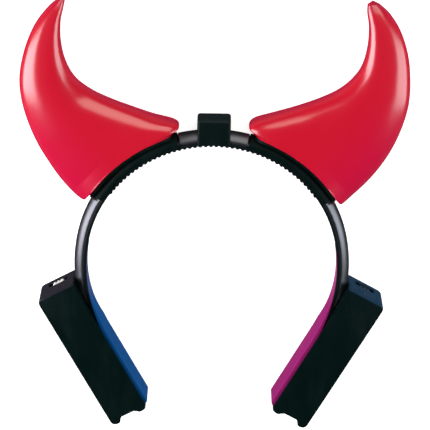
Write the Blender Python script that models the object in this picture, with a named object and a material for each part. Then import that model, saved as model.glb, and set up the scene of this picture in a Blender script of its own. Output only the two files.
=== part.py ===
"""Light-up devil horns headband: a C-shaped plastic band with two hollow horns on saddles,
a wire channel over the band, a centre block and a tilted battery case at each end.

The part lies on its back: X is its width, Y runs from the cases to the horn tips and Z is up,
out of its front. Blender units are metres. Sizes below are in millimetres and degrees.
"""
import math

import bmesh
import bpy
from mathutils import Vector

MM = 0.001
GAP = 0.3                     # air between pieces that touch on the real object

# Band: a comb-toothed flat strip, as arcs of its inner face from the crown down
CROWN_Y = -21.9               # centre of the crown arc, which sits on the mirror plane
BAND_ARCS = (                 # radius, sweep
    (57.6, 76.8),
    (70.8, 42.0),
)
BAND_TAIL = 38.0              # straight stretch inside each case's groove
BAND_THICK = 1.6
BAND_DEPTH = 9.0
BAND_STEP = 4.0               # length of a straight piece of it below the teeth

TOOTH_PITCH = 2.4
TOOTH_HEIGHT = 0.45
TOOTH_LAND = 0.45             # share of the pitch at the flat tip of a tooth
TEETH_PER_SIDE = 23

# Wire channel: a D-section moulding along the outside of the band
CHANNEL_WIDTH = 7.5
CROWN_HEIGHT = 4.8            # beside the centre block
SEAT_HEIGHT = 3.1             # in the recess that each saddle sits in
LOWER_HEIGHT = 3.9            # from a saddle down to the case
SEAT_SLOPE = 0.2              # length over which the height changes
CHANNEL_SIDE = 0.3            # upright part of its sides, below the dome
DOME_POWER = 1.5              # superellipse power of the dome, pointed rather than round
DOME_STEPS = 8
CHANNEL_SHORT = 12.0          # its ends stop this far before the ends of the arcs
CHANNEL_STEP = 3.2
CHANNEL_SMOOTH = 40           # degrees

# Battery cases, measured along and across the straight end of the band
CASE_LENGTH = 73.2
CASE_WIDTH = 18.9
CASE_DEPTH = 16.9
CASE_RISE = 31.1              # how far the case reaches up past the end of the arcs
CASE_CORNER = 1.6
CASE_EDGE = 0.7
CASE_TOP_EDGE = 0.4           # small chamfer where the top end meets the inner side
GROOVE_ABOVE = 22.0           # the band's groove starts this far above the end of the arcs
NOTCH_START = 4.5             # finger notch in the bottom end, from the inner side
NOTCH_END = 14.7
NOTCH_DEPTH = 2.5
INNER_LOBE_SHORT = 0.7        # how much shorter the case is on the inner side of the notch

# Slide switch in the top end of each case
SLOT_LENGTH = 9.6
SLOT_WIDTH = 4.4
SLOT_DEPTH = 2.2
SLOT_ACROSS = 8.8             # slot centre, from the case's inner side
SLOT_BEHIND = 4.0             # slot centre, behind the middle of the case
KNOB_LENGTH = 5.6
KNOB_WIDTH = 2.6
KNOB_HEIGHT = 2.3
KNOB_RIDGES = 3
RIDGE_HEIGHT = 0.5

# Temple pads: thin coloured strips down the inner face of the band and the case
PAD_START = 82.0              # arc length from the crown where a pad begins
PAD_GROWS = 90.0              # and where it starts to grow thicker and wider
PAD_THIN = 0.4
PAD_THICK = 1.2
PAD_NARROW = 7.6
PAD_WIDE = 16.0
PAD_FULL_BEFORE = 6.0         # it is full size this far before the end of the arcs
PAD_STEP = 3.4

# Saddles: a sleeve over the band with a curved flange that closes the horn's base
SADDLE_FROM = 15.4            # degrees from the crown
SADDLE_END_Y = 8.6            # the lower end is cut at this height at the sleeve's hem
SADDLE_END_SLANT = 0.3        # rise of that cut for each millimetre outwards
SADDLE_HEM = 1.3              # lower edge of the sleeve's cheeks, above the band's inner face
SADDLE_WALL = 1.4
CHEEK_WALL = 0.8
SADDLE_STEPS = 3              # facets on each side of the sleeve's dome
SADDLE_STATIONS = 18
RIM_SEAT = 7.1                # top of the flange, out from the band's inner face
FLANGE_THICK = 1.1
FLANGE_RISE = 1.5             # half depth at which it has come up from the sleeve to that
FLANGE_INSET = 1.0            # how far the flange stays inside the horn's rim
FLANGE_MIN = 0.05             # ledge left on the sleeve past the ends of the flange
FLANGE_TAPER = 0.5            # width of the sleeve's flat back there, as a share of the ledge

# Horns: sections from the base to the tip, relative to the centre of the crown arc
BASE_FROM = 17.0              # degrees from the crown, ends of the rim on the saddle
BASE_TO = 60.5
HORN_WALL = 1.4
HORN_RING = 28
HORN_STEPS = 2                # sections for each row below
HORN_SMOOTH = 50              # degrees
ROUND_POWER = 2.4             # superellipse powers: the concave side is nearly round,
SQUARE_POWER = 4.0            # the convex side squarer at the base
SQUARE_FADE = 0.4             # drop of that power from one section to the next
HORN_HALF_DEPTH = 8.4
HORN_SECTIONS = {             # concave x, concave y, convex x, convex y, half depth, sagitta
    "left": (                 # slimmer towards its tip than the other one
        (17.8, 63.9, 58.0, 30.8, 8.4, 4.9),
        (15.8, 65.7, 59.8, 29.9, 8.4, 5.2),
        (18.2, 68.0, 64.4, 33.4, 8.4, 5.0),
        (26.7, 70.5, 70.1, 40.2, 8.4, 4.2),
        (36.5, 74.1, 75.2, 47.9, 8.4, 3.2),
        (46.4, 77.9, 80.2, 56.8, 8.4, 2.2),
        (55.3, 82.2, 84.3, 67.0, 8.2, 1.2),
        (62.5, 87.6, 87.0, 77.4, 7.8, 0.5),
        (66.9, 95.2, 87.8, 88.2, 7.2, 0.0),
        (69.0, 104.5, 85.3, 100.6, 6.2, 0.0),
        (69.0, 113.6, 80.8, 111.8, 4.9, 0.0),
        (67.7, 120.0, 75.1, 119.8, 3.6, 0.0),
        (66.9, 124.0, 70.2, 124.4, 2.2, 0.0),
    ),
    "right": (
        (17.6, 64.2, 57.8, 30.7, 8.4, 4.9),
        (15.8, 66.2, 59.2, 29.7, 8.4, 5.2),
        (18.2, 69.2, 63.3, 33.2, 8.4, 5.0),
        (26.7, 72.1, 70.0, 40.2, 8.4, 4.2),
        (36.5, 75.4, 75.9, 47.9, 8.4, 3.2),
        (46.4, 79.1, 81.0, 56.8, 8.4, 2.2),
        (55.0, 83.4, 85.0, 67.0, 8.2, 1.2),
        (61.3, 88.7, 87.4, 77.4, 7.8, 0.5),
        (65.7, 95.4, 87.8, 88.2, 7.2, 0.0),
        (67.8, 104.5, 86.2, 100.6, 6.2, 0.0),
        (68.0, 113.6, 82.4, 111.8, 4.9, 0.0),
        (67.0, 120.0, 77.3, 119.8, 3.6, 0.0),
        (66.9, 124.0, 72.4, 124.4, 2.2, 0.0),
    ),
}
HORN_TIP = {"left": (68.3, 126.0), "right": (69.2, 126.0)}
CAVITY_ROWS = 8               # rows above that the hollow reaches through

# Centre block astride the band
BLOCK_WIDTH = 15.2
BLOCK_DEPTH = 10.8
BLOCK_BOTTOM = 58.1           # above the centre of the crown arc
BLOCK_TOP = 70.3
BLOCK_EDGE = 1.2
BLOCK_CUT_REACH = 12.0        # degrees each way that the band's way through it runs
BLOCK_CUT_STEP = 2.0
BLOCK_CUT_BELOW = 6.0         # how far that way reaches below the band

CUTTER_PAST = 5.0             # how far a cutter reaches into the open air

BLACK = (0.012, 0.016, 0.017)
BLUE = (0.010, 0.075, 0.270)
MAGENTA = (0.380, 0.020, 0.200)
RED = (0.700, 0.012, 0.030)
WHITE = (0.780, 0.780, 0.760)
GREY = (0.060, 0.075, 0.110)

MIDDLE_Z = CASE_DEPTH / 2
SHOULDER = BAND_THICK + GAP + GAP     # offset where the sleeve's cheeks turn into its dome
FOOT = BAND_THICK + GAP               # offset of the wire channel's foot
SLEEVE_INNER = FOOT + SEAT_HEIGHT + GAP
SLEEVE_OUTER = SLEEVE_INNER + SADDLE_WALL
BASE_RADIUS = BAND_ARCS[0][0] + RIM_SEAT + GAP
ARC_LENGTH = sum(radius * math.radians(sweep) for radius, sweep in BAND_ARCS)


def clear_scene():
    for old in list(bpy.data.objects):
        bpy.data.objects.remove(old, do_unlink=True)


def plastic(name, colour, roughness):
    mat = bpy.data.materials.new(name)
    mat.use_nodes = True
    shader = mat.node_tree.nodes["Principled BSDF"]
    shader.inputs["Base Color"].default_value = (*colour, 1.0)
    shader.inputs["Roughness"].default_value = roughness
    shader.inputs["Metallic"].default_value = 0.0
    return mat


def add_piece(name, bm, mat, smooth_angle=None):
    bmesh.ops.recalc_face_normals(bm, faces=bm.faces)
    bmesh.ops.scale(bm, vec=(MM, MM, MM), verts=bm.verts)
    mesh = bpy.data.meshes.new(name)
    bm.to_mesh(mesh)
    bm.free()
    if smooth_angle:
        mesh.shade_smooth()
        mesh.set_sharp_from_angle(angle=math.radians(smooth_angle))
    obj = bpy.data.objects.new(name, mesh)
    if mat:
        mesh.materials.append(mat)
    bpy.context.scene.collection.objects.link(obj)
    return obj


def cut(target, cutter):
    cutter.hide_render = True
    cutter.display_type = "WIRE"
    boolean = target.modifiers.new("cut " + cutter.name, "BOOLEAN")
    boolean.operation = "DIFFERENCE"
    boolean.solver = "EXACT"
    boolean.object = cutter


def band_frame(s):
    """Point on the band's inner face at arc length s from the crown, and the outward normal."""
    side = -1.0 if s < 0 else 1.0
    rest = abs(s)
    heading = 0.0
    x, y = 0.0, CROWN_Y + BAND_ARCS[0][0]
    for radius, sweep in BAND_ARCS:
        turn = min(rest / radius, math.radians(sweep))
        x += radius * (math.sin(heading + turn) - math.sin(heading))
        y += radius * (math.cos(heading + turn) - math.cos(heading))
        heading += turn
        rest -= turn * radius
    x += rest * math.cos(heading)
    y -= rest * math.sin(heading)
    return Vector((side * x, y)), Vector((side * math.sin(heading), math.cos(heading)))


def band_point(s, offset, z):
    """Point at arc length s, offset outwards from the inner face, z above the mid plane."""
    point, normal = band_frame(s)
    place = point + normal * offset
    return Vector((place.x, place.y, MIDDLE_Z + z))


def crown_point(radius, angle, z):
    """Point on a circle about the centre of the crown arc, angle in radians from the crown."""
    return Vector((radius * math.sin(angle), CROWN_Y + radius * math.cos(angle), MIDDLE_Z + z))


def skin(bm, rings, closed_ends=True):
    """Join rings of equally many points with quads, and fill the first and last ring."""
    verts = [[bm.verts.new(point) for point in ring] for ring in rings]
    count = len(verts[0])
    for lower, upper in zip(verts, verts[1:]):
        for i in range(count):
            j = (i + 1) % count
            bm.faces.new((lower[i], lower[j], upper[j], upper[i]))
    if closed_ends:
        bm.faces.new(list(reversed(verts[0])))
        bm.faces.new(verts[-1])
    return verts


def spread(start, end, step):
    count = max(1, math.ceil(abs(end - start) / step))
    return [start + (end - start) * i / count for i in range(count + 1)]


def headband(mat):
    tooth_half = TEETH_PER_SIDE * TOOTH_PITCH
    full = ARC_LENGTH + BAND_TAIL
    stations = [(s, 0.0) for s in spread(-full, -tooth_half, BAND_STEP)[:-1]]
    land = TOOTH_PITCH * TOOTH_LAND
    flank = (TOOTH_PITCH - land) / 4
    for i in range(2 * TEETH_PER_SIDE):
        start = -tooth_half + i * TOOTH_PITCH
        stations.append((start, 0.0))
        stations.append((start + flank, 0.0))
        stations.append((start + 2 * flank, -TOOTH_HEIGHT))
        stations.append((start + 2 * flank + land, -TOOTH_HEIGHT))
        stations.append((start + 3 * flank + land, 0.0))
    stations += [(s, 0.0) for s in spread(tooth_half, full, BAND_STEP)]
    half = BAND_DEPTH / 2
    bm = bmesh.new()
    skin(bm, [(band_point(s, inner, half), band_point(s, BAND_THICK, half),
               band_point(s, BAND_THICK, -half), band_point(s, inner, -half))
              for s, inner in stations])
    return add_piece("headband", bm, mat)


def channel_profile(height):
    """The wire channel's section as pairs of z and offset from the band's inner face."""
    half = CHANNEL_WIDTH / 2
    dome = height - CHANNEL_SIDE
    profile = [(half, FOOT)]
    for i in range(DOME_STEPS + 1):
        angle = math.pi * i / DOME_STEPS
        z = math.copysign(abs(math.cos(angle)) ** (2 / DOME_POWER), math.cos(angle))
        rise = abs(math.sin(angle)) ** (2 / DOME_POWER)
        profile.append((half * z, FOOT + CHANNEL_SIDE + dome * rise))
    profile.append((-half, FOOT))
    return profile


def saddle_end_angle(offset):
    """Angle from the crown of the saddle's lower end, at an offset from the band's face."""
    height = SADDLE_END_Y + SADDLE_END_SLANT * (offset - SADDLE_HEM)
    return math.acos((height - CROWN_Y) / (BAND_ARCS[0][0] + offset))


def channel_stations():
    """Arc lengths with the channel's height there, from the crown down one side."""
    crown_radius = BAND_ARCS[0][0]
    seat_start = crown_radius * math.radians(SADDLE_FROM) - GAP
    seat_end = crown_radius * saddle_end_angle(FOOT + LOWER_HEIGHT) + 2 * GAP
    reach = ARC_LENGTH - CHANNEL_SHORT
    crown = spread(0.0, seat_start - SEAT_SLOPE, CHANNEL_STEP)
    seat = spread(seat_start, seat_end, CHANNEL_STEP)
    lower = spread(seat_end + SEAT_SLOPE, reach, CHANNEL_STEP)
    return ([(s, CROWN_HEIGHT) for s in crown] + [(s, SEAT_HEIGHT) for s in seat]
            + [(s, LOWER_HEIGHT) for s in lower])


def wire_channel(mat):
    stations = channel_stations()
    stations = [(-s, height) for s, height in reversed(stations[1:])] + stations
    bm = bmesh.new()
    skin(bm, [[band_point(s, offset, z) for z, offset in channel_profile(height)]
              for s, height in stations])
    channel = add_piece("wire_channel", bm, mat, CHANNEL_SMOOTH)
    for side in (-1, 1):
        cut(channel, case_block(side, GAP, 4 * CUTTER_PAST))
    return channel


def case_point(side, along, across, z):
    """Point in a case: along from its top end, across from its inner side, z from mid depth."""
    corner, normal = band_frame(side * ARC_LENGTH)
    down = Vector((side * normal.y, -side * normal.x))
    place = corner + down * (along - CASE_RISE) + normal * across
    return Vector((place.x, place.y, MIDDLE_Z + z))


def case_block(side, grow, past):
    """A plain block with the case's top end and inner side, grown, reaching past its others."""
    bm = bmesh.new()
    half = CASE_DEPTH / 2 + past
    outline = ((-grow, -grow), (CASE_LENGTH, -grow), (CASE_LENGTH, CASE_WIDTH + past),
               (-grow, CASE_WIDTH + past))
    skin(bm, [[case_point(side, along, across, z) for along, across in outline]
              for z in (-half, half)])
    return add_piece("channel_end_cutter", bm, None)


def case_outline():
    """The case seen from the front, along and across, with its corners cut and its notch."""
    corner = CASE_CORNER
    length, width = CASE_LENGTH, CASE_WIDTH
    slope = NOTCH_DEPTH / 2
    lobe = length - INNER_LOBE_SHORT
    return ((0.0, CASE_TOP_EDGE), (CASE_TOP_EDGE, 0.0), (lobe - corner, 0.0), (lobe, corner),
            (lobe, NOTCH_START), (length - NOTCH_DEPTH, NOTCH_START + slope),
            (length - NOTCH_DEPTH, NOTCH_END - slope), (length, NOTCH_END),
            (length, width - corner), (length - corner, width),
            (corner, width), (0.0, width - corner))


def battery_case(side_name, side, mat):
    outline = case_outline()
    half = CASE_DEPTH / 2
    bm = bmesh.new()
    skin(bm, [[case_point(side, along, across, z) for along, across in outline]
              for z in (-half, half)])
    rims = [edge for edge in bm.edges
            if abs(edge.verts[0].co.z - edge.verts[1].co.z) < 0.01]
    bmesh.ops.bevel(bm, geom=rims, offset=CASE_EDGE, segments=2, profile=0.5,
                    affect="EDGES", clamp_overlap=True)
    case = add_piece(side_name + "_battery_case", bm, mat)
    cut(case, groove_cutter(side_name, side))
    cut(case, slot_cutter(side_name, side))
    return case


def groove_cutter(side_name, side):
    """The band's tail and the end of the wire channel lie in this groove in the inner side."""
    half = BAND_DEPTH / 2 + GAP
    floor = BAND_THICK + GAP
    reach = CASE_RISE + BAND_TAIL + GAP
    start = CASE_RISE - GROOVE_ABOVE
    outline = ((start, -CUTTER_PAST), (reach, -CUTTER_PAST), (reach, floor), (start, floor))
    bm = bmesh.new()
    skin(bm, [[case_point(side, along, across, z) for along, across in outline]
              for z in (-half, half)])
    return add_piece(side_name + "_groove_cutter", bm, None)


def slot_cutter(side_name, side):
    near = SLOT_ACROSS - SLOT_LENGTH / 2
    far = SLOT_ACROSS + SLOT_LENGTH / 2
    outline = ((-CUTTER_PAST, near), (SLOT_DEPTH, near), (SLOT_DEPTH, far), (-CUTTER_PAST, far))
    half = SLOT_WIDTH / 2
    bm = bmesh.new()
    skin(bm, [[case_point(side, along, across, z - SLOT_BEHIND) for along, across in outline]
              for z in (-half, half)])
    return add_piece(side_name + "_slot_cutter", bm, None)


def switch_knob(side_name, side, mat):
    """A slider with cross ridges on its top, in the middle of its slot."""
    base = SLOT_DEPTH - GAP
    top = base - KNOB_HEIGHT + RIDGE_HEIGHT
    start = SLOT_ACROSS - KNOB_LENGTH / 2
    pitch = KNOB_LENGTH / (2 * KNOB_RIDGES - 1)
    outline = [(base, start), (top - RIDGE_HEIGHT, start)]
    for i in range(1, 2 * KNOB_RIDGES - 1):
        across = start + pitch * i
        levels = (top - RIDGE_HEIGHT, top) if i % 2 else (top, top - RIDGE_HEIGHT)
        outline += [(levels[0], across), (levels[1], across)]
    outline += [(top - RIDGE_HEIGHT, start + KNOB_LENGTH), (base, start + KNOB_LENGTH)]
    half = KNOB_WIDTH / 2
    bm = bmesh.new()
    skin(bm, [[case_point(side, along, across, z - SLOT_BEHIND) for along, across in outline]
              for z in (-half, half)])
    return add_piece(side_name + "_switch_knob", bm, mat)


def temple_pad(side_name, side, mat):
    """A strip on the band's inner face that grows thicker and wider down to the case."""
    end = ARC_LENGTH + CASE_LENGTH - CASE_RISE - CASE_CORNER
    full = ARC_LENGTH - PAD_FULL_BEFORE
    rings = []
    for s in spread(PAD_START, end, PAD_STEP):
        share = min(1.0, max(0.0, (s - PAD_GROWS) / (full - PAD_GROWS))) ** 2
        inner = -GAP - PAD_THIN - (PAD_THICK - PAD_THIN) * share
        half = (PAD_NARROW + (PAD_WIDE - PAD_NARROW) * share) / 2
        rings.append((band_point(side * s, inner, half), band_point(side * s, -GAP, half),
                      band_point(side * s, -GAP, -half), band_point(side * s, inner, -half)))
    bm = bmesh.new()
    skin(bm, rings)
    return add_piece(side_name + "_temple_pad", bm, mat)


def ring_shares(square_outer):
    """Shares across a section (-1 concave side to 1 convex side) and of its half depth."""
    shares = []
    for i in range(HORN_RING):
        angle = 2 * math.pi * i / HORN_RING
        power = 2.0 / (square_outer if math.cos(angle) > 0 else ROUND_POWER)
        across = math.copysign(abs(math.cos(angle)) ** power, math.cos(angle))
        deep = math.copysign(abs(math.sin(angle)) ** power, math.sin(angle))
        shares.append((across, deep))
    return shares


def rim_half_depth(angle):
    """Half depth of the horn's rim at an angle from the crown, 0 past its ends."""
    middle = math.radians(BASE_FROM + BASE_TO) / 2
    reach = math.radians(BASE_TO - BASE_FROM) / 2
    across = (angle - middle) / reach
    if abs(across) >= 1.0:
        return 0.0
    square = SQUARE_POWER if across > 0 else ROUND_POWER
    return HORN_HALF_DEPTH * (1.0 - abs(across) ** square) ** (1.0 / square)


def horn_base_ring(side, inset):
    """The rim on the saddle: a ring on a cylinder about the centre of the crown arc."""
    trim = math.degrees(inset / BASE_RADIUS)
    start = math.radians(BASE_FROM + trim)
    end = math.radians(BASE_TO - trim)
    half = HORN_HALF_DEPTH - inset
    ring = []
    for across, deep in ring_shares(SQUARE_POWER):
        angle = start + (end - start) * (1.0 + across) / 2
        ring.append(crown_point(BASE_RADIUS, side * angle, deep * half))
    return ring


def horn_ring(side, row, inset, square_outer):
    concave = Vector((row[0], row[1] + CROWN_Y))
    convex = Vector((row[2], row[3] + CROWN_Y))
    chord = (convex - concave).normalized()
    outward = Vector((-chord.y, chord.x))
    concave = concave + chord * inset
    convex = convex - chord * inset
    ring = []
    for across, deep in ring_shares(square_outer):
        bulge = row[5] * (1.0 - across * across)
        place = concave.lerp(convex, (1.0 + across) / 2) + outward * bulge
        ring.append(Vector((side * place.x, place.y, MIDDLE_Z + deep * (row[4] - inset))))
    return ring


def horn_rows(table):
    """The table's rows with smooth in-between rows, as a Catmull-Rom curve runs through them."""
    rows = []
    for i in range(len(table) - 1):
        before, here = table[max(0, i - 1)], table[i]
        after, beyond = table[i + 1], table[min(len(table) - 1, i + 2)]
        for step in range(HORN_STEPS):
            t = step / HORN_STEPS
            rows.append([0.5 * (2 * b + (c - a) * t + (2 * a - 5 * b + 4 * c - d) * t * t
                                + (3 * b - a - 3 * c + d) * t ** 3)
                         for a, b, c, d in zip(before, here, after, beyond)])
    rows.append(list(table[-1]))
    return rows


def horn(side_name, side, mat):
    """A hollow horn, open at the rim that sits on the saddle."""
    rows = horn_rows(HORN_SECTIONS[side_name])
    squares = [max(ROUND_POWER, SQUARE_POWER - SQUARE_FADE * i) for i in range(len(rows))]
    outer = [horn_base_ring(side, 0.0)]
    outer += [horn_ring(side, row, 0.0, square) for row, square in zip(rows, squares)]
    hollow = CAVITY_ROWS * HORN_STEPS
    inner = [horn_base_ring(side, HORN_WALL)]
    inner += [horn_ring(side, row, HORN_WALL, square)
              for row, square in zip(rows[:hollow], squares)]
    bm = bmesh.new()
    outside = skin(bm, outer, closed_ends=False)
    inside = skin(bm, inner, closed_ends=False)
    count = HORN_RING
    for i in range(count):
        j = (i + 1) % count
        bm.faces.new((outside[0][i], inside[0][i], inside[0][j], outside[0][j]))
    tip_x, tip_y = HORN_TIP[side_name]
    tip = bm.verts.new((side * tip_x, tip_y + CROWN_Y, MIDDLE_Z))
    for i in range(count):
        bm.faces.new((outside[-1][i], outside[-1][(i + 1) % count], tip))
    bm.faces.new(inside[-1])
    return add_piece(side_name + "_horn", bm, mat, HORN_SMOOTH)


def saddle_section(flange):
    """The saddle's section as pairs of offset from the band's inner face and z."""
    cheek_in = BAND_DEPTH / 2 + GAP
    cheek_out = cheek_in + CHEEK_WALL
    under = RIM_SEAT - FLANGE_THICK
    top = SLEEVE_OUTER + (RIM_SEAT - SLEEVE_OUTER) * min(1.0, max(0.0, flange / FLANGE_RISE))
    inner_rise = SLEEVE_INNER - SHOULDER
    outer_rise = SLEEVE_OUTER - SHOULDER
    root = math.asin((under - SHOULDER) / outer_rise)
    outside = [(SADDLE_HEM, cheek_out)]
    for i in range(SADDLE_STEPS + 1):
        angle = root * i / SADDLE_STEPS
        outside.append((SHOULDER + outer_rise * math.sin(angle), cheek_out * math.cos(angle)))
    edge = cheek_out * math.cos(root)
    outside.append((under, max(edge + FLANGE_MIN, flange)))
    outside.append((top, max(edge * FLANGE_TAPER, flange)))
    outside += [(offset, -z) for offset, z in reversed(outside)]
    inside = [(SADDLE_HEM, -cheek_in)]
    for i in range(2 * SADDLE_STEPS + 1):
        angle = math.pi * i / (2 * SADDLE_STEPS)
        inside.append((SHOULDER + inner_rise * math.sin(angle), -cheek_in * math.cos(angle)))
    inside.append((SADDLE_HEM, cheek_in))
    return outside + inside


def horn_saddle(side_name, side, mat):
    """A sleeve round the band and channel, with a flange that carries the horn's rim."""
    crown_radius = BAND_ARCS[0][0]
    start = math.radians(SADDLE_FROM)
    finish = saddle_end_angle(SADDLE_HEM)
    rings = []
    for share in spread(0.0, 1.0, 1.0 / SADDLE_STATIONS):
        flange = rim_half_depth(start + (finish - start) * share) - FLANGE_INSET
        ring = []
        for offset, z in saddle_section(flange):
            angle = start + (saddle_end_angle(offset) - start) * share
            ring.append(crown_point(crown_radius + offset, side * angle, z))
        rings.append(ring)
    bm = bmesh.new()
    skin(bm, rings)
    return add_piece(side_name + "_horn_saddle", bm, mat)


def block_channel_cutter():
    half = BAND_DEPTH / 2 + GAP
    crown_radius = BAND_ARCS[0][0]
    inner = crown_radius - BLOCK_CUT_BELOW
    outer = crown_radius + FOOT + CROWN_HEIGHT + GAP
    reach = math.radians(BLOCK_CUT_REACH)
    bm = bmesh.new()
    skin(bm, [(crown_point(inner, angle, half), crown_point(outer, angle, half),
               crown_point(outer, angle, -half), crown_point(inner, angle, -half))
              for angle in spread(-reach, reach, math.radians(BLOCK_CUT_STEP))])
    return add_piece("block_channel_cutter", bm, None)


def centre_block(mat):
    half_x = BLOCK_WIDTH / 2
    half_z = BLOCK_DEPTH / 2
    low = CROWN_Y + BLOCK_BOTTOM
    high = CROWN_Y + BLOCK_TOP
    bm = bmesh.new()
    skin(bm, [[Vector((x, y, MIDDLE_Z + z)) for x, z in
               ((-half_x, -half_z), (half_x, -half_z), (half_x, half_z), (-half_x, half_z))]
              for y in (low, high)])
    edges = [edge for edge in bm.edges
             if max(vert.co.y for vert in edge.verts) > low + BLOCK_EDGE]
    bmesh.ops.bevel(bm, geom=edges, offset=BLOCK_EDGE, segments=3, profile=0.5,
                    affect="EDGES", clamp_overlap=True)
    block = add_piece("centre_block", bm, mat)
    cut(block, block_channel_cutter())
    return block


def main():
    clear_scene()
    gloss_black = plastic("gloss black plastic", BLACK, 0.22)
    channel_black = plastic("gloss black channel", BLACK, 0.15)
    matte_black = plastic("matte black plastic", BLACK, 0.55)
    case_black = plastic("case black plastic", BLACK, 0.45)
    horn_red = plastic("red horn plastic", RED, 0.25)
    pads = {"left": plastic("blue pad", BLUE, 0.5), "right": plastic("magenta pad", MAGENTA, 0.5)}
    knobs = {"left": plastic("white knob", WHITE, 0.35), "right": plastic("grey knob", GREY, 0.35)}
    headband(gloss_black)
    centre_block(matte_black)
    wire_channel(channel_black)
    for side_name, side in (("left", -1), ("right", 1)):
        battery_case(side_name, side, case_black)
        switch_knob(side_name, side, knobs[side_name])
        temple_pad(side_name, side, pads[side_name])
        horn_saddle(side_name, side, matte_black)
        horn(side_name, side, horn_red)


main()
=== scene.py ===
import math

import bmesh
import bpy
from mathutils import Matrix, Vector


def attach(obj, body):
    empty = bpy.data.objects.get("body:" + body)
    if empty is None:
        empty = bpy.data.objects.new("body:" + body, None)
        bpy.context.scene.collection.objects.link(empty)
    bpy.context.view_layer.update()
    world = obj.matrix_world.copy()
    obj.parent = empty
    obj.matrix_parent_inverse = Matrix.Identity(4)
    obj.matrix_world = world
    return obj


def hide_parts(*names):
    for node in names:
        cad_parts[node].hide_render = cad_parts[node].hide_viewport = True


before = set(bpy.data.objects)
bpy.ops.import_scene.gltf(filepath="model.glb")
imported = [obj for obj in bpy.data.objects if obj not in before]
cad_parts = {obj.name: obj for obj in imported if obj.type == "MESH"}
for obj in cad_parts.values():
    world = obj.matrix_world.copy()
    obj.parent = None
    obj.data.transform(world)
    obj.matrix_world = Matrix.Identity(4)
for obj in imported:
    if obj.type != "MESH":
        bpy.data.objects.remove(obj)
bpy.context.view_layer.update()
print("stage 1: frame loaded,", len(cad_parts), "nodes")

# Lengths below are millimetres and degrees, as on the solids, and become metres in each mesh.
toMetres = 0.001

# The line that everything follows: the band's inner face, two arcs a side and a straight tail
bandLine = {
    "crownY": -21.9,
    "arcs": ((57.6, 76.8), (70.8, 42.0)),  # radius, sweep
    "middleZ": 8.45,
    "gap": 0.3,
}
arcLength = sum(radius * math.radians(sweep) for radius, sweep in bandLine["arcs"])


def bandFrame(s):
    # point and outward normal at arc length s from the crown
    side = -1.0 if s < 0 else 1.0
    rest, heading = abs(s), 0.0
    x, y = 0.0, bandLine["crownY"] + bandLine["arcs"][0][0]
    for radius, sweep in bandLine["arcs"]:
        turn = min(rest / radius, math.radians(sweep))
        x += radius * (math.sin(heading + turn) - math.sin(heading))
        y += radius * (math.cos(heading + turn) - math.cos(heading))
        heading += turn
        rest -= turn * radius
    x += rest * math.cos(heading)
    y -= rest * math.sin(heading)
    return Vector((side * x, y)), Vector((side * math.sin(heading), math.cos(heading)))


def bandPoint(s, offset, z):
    point, normal = bandFrame(s)
    place = point + normal * offset
    return Vector((place.x, place.y, bandLine["middleZ"] + z))


def crownPoint(radius, angle, z):
    x, y = radius * math.sin(angle), radius * math.cos(angle)
    return Vector((x, bandLine["crownY"] + y, bandLine["middleZ"] + z))


def spread(start, end, count):
    return [start + (end - start) * i / count for i in range(count + 1)]


batteryCase = {
    "length": 73.2, "width": 18.9, "depth": 16.9, "rise": 31.1, "corner": 2.6, "cornerSteps": 6,
    "topEdge": 0.4, "edgeRound": 0.9, "edgeSteps": 5,
    "notchStart": 4.5, "notchEnd": 14.7, "notchDepth": 2.5, "lobeShort": 0.7,
    "notchLip": 0.9, "notchRoot": 0.8,  # radii
    "grooveAbove": 22.0, "airPast": 5.0,  # cutters reach this far into the open air
}


# Mesh helpers

def skinRings(bm, rings, capEnds=True):
    verts = [[bm.verts.new(point) for point in ring] for ring in rings]
    count = len(verts[0])
    for lower, upper in zip(verts, verts[1:]):
        for i in range(count):
            j = (i + 1) % count
            bm.faces.new((lower[i], lower[j], upper[j], upper[i]))
    if capEnds:
        bm.faces.new(list(reversed(verts[0])))
        bm.faces.new(verts[-1])
    return verts


def linkMesh(name, mesh):
    obj = bpy.data.objects.new(name, mesh)
    bpy.context.scene.collection.objects.link(obj)
    return obj


def finishMesh(name, bm, material, smoothAngle=35):
    bmesh.ops.recalc_face_normals(bm, faces=bm.faces)
    bmesh.ops.scale(bm, vec=(toMetres, toMetres, toMetres), verts=bm.verts)
    mesh = bpy.data.meshes.new(name)
    bm.to_mesh(mesh)
    bm.free()
    mesh.shade_smooth()
    mesh.set_sharp_from_angle(angle=math.radians(smoothAngle))
    if material:
        mesh.materials.append(material)
    return linkMesh(name, mesh)


def bakeModifiers(obj):
    depsgraph = bpy.context.evaluated_depsgraph_get()
    mesh = bpy.data.meshes.new_from_object(obj.evaluated_get(depsgraph))
    obj.modifiers.clear()
    obj.data = mesh
    return obj


def addBevel(obj, width, segments=3, angle=30):
    bevel = obj.modifiers.new("soft edges", "BEVEL")
    bevel.width = width * toMetres
    bevel.segments = segments
    bevel.limit_method = "ANGLE"
    bevel.angle_limit = math.radians(angle)
    bevel.harden_normals = True


def carve(obj, cutter):
    boolean = obj.modifiers.new("carve " + cutter.name, "BOOLEAN")
    boolean.operation = "DIFFERENCE"
    boolean.solver = "EXACT"
    boolean.object = cutter
    bakeModifiers(obj)
    bpy.data.objects.remove(cutter, do_unlink=True)


def place(obj, body, slotName, *nodes):
    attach(obj, body)
    if nodes:
        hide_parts(*nodes)


# Shader helpers

def addNode(tree, kind, **values):
    node = tree.nodes.new(kind)
    for key, value in values.items():
        setattr(node, key, value)
    return node


def mathNode(tree, operation, first, second=None, third=None, clamp=False):
    node = addNode(tree, "ShaderNodeMath", operation=operation, use_clamp=clamp)
    for socket, value in zip(node.inputs, (first, second, third)):
        if value is None:
            continue
        if isinstance(value, (int, float)):
            socket.default_value = value
        else:
            tree.links.new(value, socket)
    return node.outputs[0]


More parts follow.
